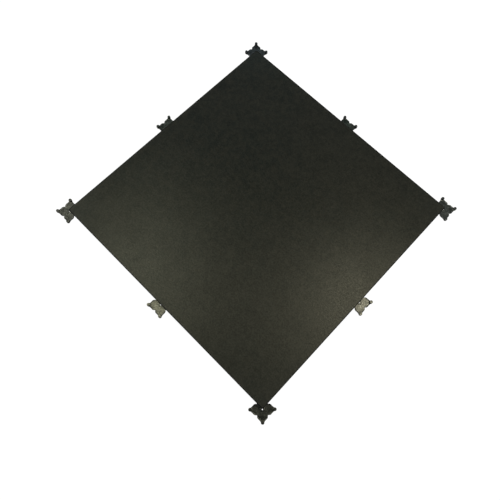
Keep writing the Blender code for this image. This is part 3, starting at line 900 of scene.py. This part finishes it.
def rail_mesh(start, end, top):
    """Square tube along X with a vertical bore at its middle."""
    wall, radius = 0.0015, 0.0020
    centre_z = top - RAIL / 2
    outer = rounded_square(RAIL / 2, radius, 4)
    inner = rounded_square(RAIL / 2 - wall, radius - wall, 4)
    bm = bmesh.new()
    rows = []
    for loop, x in ((outer, start), (outer, end), (inner, end), (inner, start)):
        rows.append([bm.verts.new((x, y, centre_z + z)) for y, z in loop])
    bridge(bm, rows + rows[:1])
    rail = mesh_from(bm, "rail")
    bore = bore_profile(BORE_R, top - RAIL - OVERSHOOT, top + OVERSHOOT)
    return boolean(rail, [turned_mesh("bore", bore, 28, [((start + end) / 2, 0)])])


def bead_mesh(x, z):
    """Rippled weld bead round a rail where it meets a post's face at x."""
    radius = 0.0015
    count, around = 132, 8
    path = rounded_square(RAIL / 2 + 0.0002, 0.0022, 6)
    corners = [Vector((x, p, z + q)) for p, q in path]
    following = corners[1:] + corners[:1]
    lengths = [(b - a).length for a, b in zip(corners, following)]
    total = sum(lengths)

    # even spacing along the path
    points = []
    i, passed = 0, 0.0
    for k in range(count):
        distance = total * k / count
        while distance > passed + lengths[i]:
            passed += lengths[i]
            i += 1
        points.append(corners[i].lerp(following[i], (distance - passed) / lengths[i]))

    bm = bmesh.new()
    rows = []
    for k, point in enumerate(points):
        tangent = (points[(k + 1) % count] - points[k - 1]).normalized()
        u = Vector((1, 0, 0))
        v = tangent.cross(u).normalized()
        uneven = noise.noise(Vector((k * 0.37, x * 50, z * 50)))
        ripple = 1 + 0.16 * math.sin(2 * math.pi * k / 4.0) + 0.10 * uneven
        reach = radius * ripple
        row = [point + (u * p + v * q) * reach for p, q in ring(1, around)]
        rows.append([bm.verts.new(place) for place in row])
    bridge(bm, rows + rows[:1])
    return mesh_from(bm, "bead", 180)


def frame_mesh(start, end, rail_tops, bosses=()):
    """Two posts at x = start and end, joined by rails; bosses are (bottom, top) at x = 0."""
    inset = POST / 2 - 0.001
    body = post_mesh(start)
    parts = [post_mesh(end)]
    for top in rail_tops:
        parts.append(rail_mesh(start + inset, end - inset, top))
    for bottom, top in bosses:
        boss = [
            (BORE_R, bottom),
            (0.0086, bottom),
            (0.0090, bottom + 0.0004),
            (0.0090, top - 0.0004),
            (0.0086, top),
            (BORE_R, top),
        ]
        parts.append(turned_mesh("boss", boss, 40))
    joined = boolean(body, parts, "UNION")
    beads = []
    for top in rail_tops:
        for x in (start + POST / 2, end - POST / 2):
            beads.append(bead_mesh(x, top - RAIL / 2))
    return merge([joined] + beads, "frame")


# ---------------------------------------------------------------- fasteners, feet, links
def hex_head(bottom, top, chamfer_bottom=False):
    corner_r = 0.0075
    head = prism_mesh("hex", ring(corner_r, 6), bottom, top, 20)
    flat_r = corner_r * math.cos(math.pi / 6) - 0.0001
    wide = corner_r + 0.0002
    chamfer = 0.0009
    if chamfer_bottom:
        profile = [(0, bottom), (flat_r, bottom), (wide, bottom + chamfer)]
    else:
        profile = [(0, bottom - 0.001), (wide, bottom - 0.001)]
    profile += [(wide, top - chamfer), (flat_r, top), (0, top)]
    return boolean(head, [turned_mesh("cone", profile, 48)], "INTERSECT")


def rod_mesh():
    """Bolt through both crossings: hex head above, threaded end below the nut."""
    head_bottom = CORNER_RAIL_TOP + GAP
    tip = NUT_TOP - NUT_H - 0.0030
    thread_pitch = 0.00125
    root_r = PIVOT_R - 0.0005
    head = hex_head(head_bottom, head_bottom + 0.0053)
    profile = [(0, tip), (PIVOT_R - 0.0012, tip), (PIVOT_R - 0.0004, tip + 0.0008)]
    z = tip + 0.0010
    while z < NUT_TOP + 0.010:
        profile += [(PIVOT_R, z), (PIVOT_R, z + 0.0002), (root_r, z + 0.0006), (root_r, z + 0.00075)]
        z += thread_pitch
    profile += [(PIVOT_R, z + 0.0004), (PIVOT_R, head_bottom + 0.002), (0, head_bottom + 0.002)]
    return boolean(head, [turned_mesh("shank", profile, 28, sharp=60)], "UNION")


def nut_mesh():
    bottom = NUT_TOP - NUT_H
    nut = hex_head(bottom, NUT_TOP, chamfer_bottom=True)
    hole = chamfered_hole(PIVOT_R + 0.00045, bottom, NUT_TOP, lip=0.0006)
    return boolean(nut, [turned_mesh("bore", hole, 32)])


# (radius, z) of the ringed sole, from the axis outwards
FOOT_SOLE = [
    (0, 0.0007), (0.0030, 0.0007), (0.0034, 0.0), (0.0052, 0.0),
    (0.0056, 0.0007), (0.0064, 0.0007), (0.0068, 0.0), (0.0086, 0.0),
    (0.0090, 0.0007), (0.0098, 0.0007), (0.0102, 0.0),
]


def foot_mesh(necked):
    """Turned rubber foot: grooved pad and ribbed spigot, with a neck between if necked."""
    pad_r = 0.0130
    spigot_r = 0.0076
    neck_r = 0.0063
    top = FOOT_H if necked else POST_BOTTOM - GAP
    profile = FOOT_SOLE + [
        (pad_r - 0.0012, 0.0),
        (pad_r - 0.0004, 0.0003),
        (pad_r, 0.0012),
        (pad_r, 0.0026),
        (pad_r - 0.0005, 0.0030),
        (pad_r - 0.0005, 0.0034),
        (pad_r, 0.0038),
        (pad_r, top - 0.0012),
        (pad_r - 0.0004, top - 0.0003),
        (pad_r - 0.0012, top),
    ]
    if necked:
        neck_top = POST_BOTTOM + 0.0006
        profile += [(neck_r, FOOT_H), (neck_r, neck_top), (spigot_r, neck_top)]
    else:
        profile.append((spigot_r, top))
    z = POST_BOTTOM + 0.0014
    while z < POST_BOTTOM + 0.0125:
        profile += [(spigot_r, z), (0.0071, z + 0.0006), (0.0071, z + 0.0010), (spigot_r, z + 0.0014)]
        z += 0.0024
    profile += [(0.0068, POST_BOTTOM + 0.0140), (0, POST_BOTTOM + 0.0140)]
    return turned_mesh("foot", profile, 40, sharp=40)


def hull(points):
    """Convex hull, anticlockwise."""
    points = sorted(set((round(x, 7), round(y, 7)) for x, y in points))

    def turn(a, b, c):
        return (b[0] - a[0]) * (c[1] - a[1]) - (b[1] - a[1]) * (c[0] - a[0])

    def half(sequence):
        out = []
        for point in sequence:
            while len(out) > 1 and turn(out[-2], out[-1], point) <= 1e-12:
                out.pop()
            out.append(point)
        return out[:-1]

    return half(points) + half(reversed(points))


def link_mesh(places):
    """Flat plate round the feet at places; with four of them it has a middle hole too."""
    bottom = FOOT_H + GAP
    top = bottom + LINK_T
    shape = hull([point for place in places for point in ring(0.0125, 48, place)])

    def shrunk(inset):
        out = []
        for i, (x, y) in enumerate(shape):
            along = Vector(shape[(i + 1) % len(shape)]) - Vector(shape[i - 1])
            along.normalize()
            out.append((x - along.y * inset, y + along.x * inset))
        return out

    # (inset, z)
    levels = [
        (0.0006, bottom),
        (0.00015, bottom + 0.0002),
        (0.0, bottom + 0.0006),
        (0.0, top - 0.0006),
        (0.00015, top - 0.0002),
        (0.0006, top),
    ]
    plate = stacked_mesh("link", [(shrunk(inset), z) for inset, z in levels])
    holes = [(place, 0.0072) for place in places]
    if len(places) == 4:
        holes.append(((0.0, 0.0), 0.014))
    bm = bmesh.new()
    for centre, radius in holes:
        lathe(bm, chamfered_hole(radius, bottom, top, lip=0.0005), 36, centre)
    return boolean(plate, [mesh_from(bm, "holes")])


# ---------------------------------------------------------------- build the deck
piece("deck_top_sheet", skin_mesh(), SKIN, "deck", "deck_surface")
trim = trim_mesh()
for name, angle in EDGES:
    turn = math.radians(angle)
    piece("deck_edge_profile_" + name, trim, TRIM, "deck", "edge_trim_" + name, turn=turn)
cap = cap_mesh()
for k, (name, _, _) in enumerate(CORNERS):
    turn = math.radians(90 * k)
    stands_for = "corner_cap_" + name
    piece("deck_corner_cap_" + name, cap, TRIM, "deck", stands_for, turn=turn, bevel=0.0006)
piece("deck_underside_sheet", sheet_mesh(), GALV, "deck", "deck_backing_sheet")
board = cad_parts["deck_board"]
board.data.materials.clear()
board.data.materials.append(PLY)

# ---------------------------------------------------------------- build the riser
centre_hub = hub_mesh((0, 1, 2, 3))
corner_hub = hub_mesh((2,))
edge_hub = hub_mesh((1, 2))
centre_link = link_mesh([(x * PEG_OFFSET, y * PEG_OFFSET) for x in (-1, 1) for y in (-1, 1)])
edge_link = link_mesh([(-PEG_OFFSET, -PEG_OFFSET), (-PEG_OFFSET, PEG_OFFSET)])
corner_frame = frame_mesh(0.0, SPAN, (CORNER_RAIL_TOP, CORNER_RAIL_BOTTOM + RAIL))
# the side frame's bosses fill the space to the corner frame's rails
side_frame = frame_mesh(
    -SPAN / 2,
    SPAN / 2,
    (SIDE_RAIL_TOP, SIDE_RAIL_BOTTOM + RAIL),
    (
        (SIDE_RAIL_TOP - 0.0008, SIDE_RAIL_TOP + RAIL_SPACE - GAP),
        (SIDE_RAIL_BOTTOM - RAIL_SPACE + GAP, SIDE_RAIL_BOTTOM + 0.0008),
    ),
)
plain_foot, necked_foot = foot_mesh(False), foot_mesh(True)
rod, nut = rod_mesh(), nut_mesh()

piece("cast_hub_centre", centre_hub, CAST, "centre_hub", "hub_plate_centre")
piece("floor_link_centre", centre_link, TUBE, "centre_hub", "bottom_link_centre")
for name, x, y in CORNERS:
    turn = math.atan2(y, x)
    inner = (x * PEG_OFFSET, y * PEG_OFFSET, 0)
    outer = (x * (PITCH - PEG_OFFSET), y * (PITCH - PEG_OFFSET), 0)
    mid = (x * PITCH / 2, y * PITCH / 2, 0)
    body = "corner_frame_" + name + "_body"
    for label, mesh, material, stands_for, at in (
        ("welded_corner_frame_", corner_frame, TUBE, "corner_frame_", inner),
        ("rubber_foot_inner_", necked_foot, RUBBER, "foot_inner_", inner),
        ("rubber_foot_corner_", plain_foot, RUBBER, "foot_corner_", outer),
        ("crossing_rod_", rod, ZINC, "pivot_rod_", mid),
        ("crossing_nut_", nut, ZINC, "pivot_nut_", mid),
    ):
        piece(label + name, mesh, material, body, stands_for + name, at, turn)

    body = "side_frame_" + name + "_body"
    cross = turn + math.pi / 2
    piece("welded_side_frame_" + name, side_frame, TUBE, body, "side_frame_" + name, mid, cross)
    for end, sign in (("a", -1), ("b", 1)):
        reach = sign * SPAN / 2
        at = (mid[0] + reach * math.cos(cross), mid[1] + reach * math.sin(cross), 0)
        foot = "foot_side_%s_%s" % (end, name)
        piece("rubber_" + foot, necked_foot, RUBBER, body, foot, at, cross)
    at = (x * PITCH, y * PITCH, 0)
    body = "corner_hub_" + name
    piece("cast_hub_" + name, corner_hub, CAST, body, "hub_plate_" + name, at, turn - math.pi / 4)
for name, angle in EDGES:
    turn = math.radians(angle)
    at = (PITCH * math.cos(turn), PITCH * math.sin(turn), 0)
    body = "edge_hub_" + name
    piece("cast_hub_" + name, edge_hub, CAST, body, "hub_plate_" + name, at, turn)
    piece("floor_link_" + name, edge_link, TUBE, body, "bottom_link_" + name, at, turn)

# painted light and shade: each casting multiplies the paint by its own tone, some paler, some darker,
# as the light falls on it
for name, tone in {
    "front_right": (0.66, 0.67, 0.64),
    "front": (1.10, 1.08, 0.96),
    "right": (0.93, 0.92, 0.87),
    "front_left": (1.06, 1.05, 1.05),
    "back_right": (1.00, 1.08, 1.14),
    "left": (1.00, 1.12, 1.12),
    "back": (0.94, 1.10, 1.06),
    "back_left": (1.00, 1.15, 1.34),
}.items():
    bpy.data.objects["cast_hub_" + name].color = (*tone, 1.0)


# ---------------------------------------------------------------- floor
def make_floor():
    """Glows like a light table all round, with a painted soft shadow under the deck in its colour and
    its glow.
    """
    net = Net("pale_floor")
    reach = net.math(
        "MAXIMUM",
        net.math("ABSOLUTE", net.axis("X")),
        net.math("ABSOLUTE", net.axis("Y")),
    )
    painted_shadow_edge = {"start": 0.34, "end": 0.485}  # where the painted shadow under the deck gives way
    base = net.ramp(net.noise(scale=3, detail=3, rough=0.5), [(0.3, 0.86), (0.7, 0.90)])
    # painted shadow: the colour is darkened under the deck
    base = net.tint(base, reach, (0.26, 0.26, 0.26), amount=1.0, **painted_shadow_edge)
    material = net.finish(base, rough=0.9, metal=0.0)
    net.feed(net.shader.inputs["Emission Color"], 1.0)
    # painted shadow: the glow is turned down under the deck
    glow = net.span(reach, low=0.10, high=0.94, **painted_shadow_edge)
    net.feed(net.shader.inputs["Emission Strength"], glow)
    # seen from below the floor is clear
    clear = net.add("ShaderNodeBsdfTransparent")
    either = net.add("ShaderNodeMixShader")
    geometry = net.add("ShaderNodeNewGeometry")
    net.feed(either.inputs[0], geometry.outputs["Backfacing"])
    net.feed(either.inputs[1], net.shader.outputs[0])
    net.feed(either.inputs[2], clear.outputs[0])
    surface = net.tree.nodes["Material Output"].inputs["Surface"]
    net.feed(surface, either.outputs[0])
    return material


def add_floor():
    size, count, z = 30.0, 24, -0.0002
    steps = [size * (i / count - 0.5) for i in range(count + 1)]
    bm = bmesh.new()
    rows = [[bm.verts.new((x, y, z)) for x in steps] for y in steps]
    for low, high in zip(rows, rows[1:]):
        for i in range(count):
            bm.faces.new((low[i], low[i + 1], high[i + 1], high[i]))
    ob = add_object("floor", mesh_of(bm, "floor"))
    ob.data.materials.append(make_floor())


add_floor()


# ---------------------------------------------------------------- lights
def lamp(name, at, target, size, watts, tint):
    light = bpy.data.lights.new(name, "AREA")
    light.shape = "RECTANGLE"
    light.size, light.size_y = size
    light.energy = watts
    light.color = tint
    ob = add_object(name, light)
    ob.location = at
    ob.rotation_euler = (Vector(target) - Vector(at)).to_track_quat("-Z", "Y").to_euler()


# Three overhead softboxes leave the two soft sheens on the deck and light the front and right
# hub plates.
lamp(
    "soft_right",
    at=(0.605, 0.62, 2.6),
    target=(0.52, 0.0, 0.2),
    size=(0.31, 0.38),
    watts=9.9,
    tint=(1.0, 0.94, 0.79),
)
lamp(
    "soft_left",
    at=(-1.05, -0.46, 2.6),
    target=(-0.24, -0.5, 0.2),
    size=(1.06, 0.28),
    watts=6.3,
    tint=(0.93, 0.94, 0.80),
)
lamp(
    "soft_left_near",
    at=(-0.58, -0.45, 2.6),
    target=(0.0, -0.5, 0.2),
    size=(0.16, 0.16),
    watts=3.3,
    tint=(0.98, 0.95, 0.79),
)

# Studio tone against the height of the view direction: bright at the horizon, dark overhead
STUDIO_TONES = [
    (0.0, 1.0),
    (0.36, (0.70, 0.72, 0.73)),
    (0.80, (0.038, 0.052, 0.057)),
    (0.93, (0.036, 0.050, 0.055)),
    (1.0, (0.010, 0.013, 0.014)),
]


def add_world():
    world = bpy.data.worlds.new("studio")
    world.use_nodes = True
    nodes, links = world.node_tree.nodes, world.node_tree.links
    background = nodes["Background"]
    place = nodes.new("ShaderNodeTexCoord")
    split = nodes.new("ShaderNodeSeparateXYZ")
    links.new(place.outputs["Generated"], split.inputs[0])
    tones = nodes.new("ShaderNodeValToRGB")
    fill_ramp(tones.color_ramp, STUDIO_TONES)
    links.new(split.outputs["Z"], tones.inputs["Fac"])
    links.new(tones.outputs["Color"], background.inputs["Color"])
    background.inputs["Strength"].default_value = 1.0
    bpy.context.scene.world = world


add_world()

# ---------------------------------------------------------------- camera
lens = bpy.data.cameras.new("camera")
camera = add_object("camera", lens)
camera.location = (0.462, -0.558, 2.164)
lens.sensor_fit = "HORIZONTAL"
lens.sensor_width = 36.0
lens.lens = 40.2264
lens.shift_x = -0.024
lens.shift_y = -0.09
lens.clip_start = 0.01
forward = Vector((-0.221134, 0.274293, -0.935876)).normalized()
right = Vector((0.719265, 0.693931, 0.03343))
right = (right - forward * right.dot(forward)).normalized()
up = right.cross(forward)
camera.rotation_euler = Matrix((right, up, -forward)).transposed().to_euler()
bpy.context.scene.camera = camera

# The camera hangs on a boom. At rest the boom does nothing; as the deck rises towards the lens it
# swings the camera down and back, so that the lifted deck and the riser both stay in view.
boom = add_object("boom", None)
boom.location = (0.0, 0.0, 0.10)
boom.rotation_euler = (0.0, 0.0, math.atan2(right.y, right.x))
bpy.context.view_layer.update()
camera.parent = boom
camera.matrix_parent_inverse = boom.matrix_world.inverted()

# channel, property suffix, value at rest, (x, y, z) with the deck 1 m up, how it is combined
for channel, suffix, rest, raised, mode in (
    ("ROTATION", "_rot", 0.0, (math.radians(37.0), 0.0, 0.0), "ADD"),
    ("LOCATION", "", 0.0, (0.0, 0.0, 0.50), "ADD"),
    ("SCALE", "_scale", 1.0, (1.62, 1.62, 1.62), "MULTIPLY"),
):
    swing = boom.constraints.new("TRANSFORM")
    swing.target = bpy.data.objects["deck_top_sheet"]
    swing.target_space, swing.owner_space = "WORLD", "LOCAL"
    swing.map_from, swing.from_min_z, swing.from_max_z = "LOCATION", 0.0, 1.0
    swing.map_to = channel
    swing.map_to_x_from = swing.map_to_y_from = swing.map_to_z_from = "Z"
    for axis, value in zip("xyz", raised):
        setattr(swing, "to_min_" + axis + suffix, rest)
        setattr(swing, "to_max_" + axis + suffix, value)
    setattr(swing, "mix_mode" + suffix, mode)
bpy.context.scene.view_settings.view_transform = "Standard"
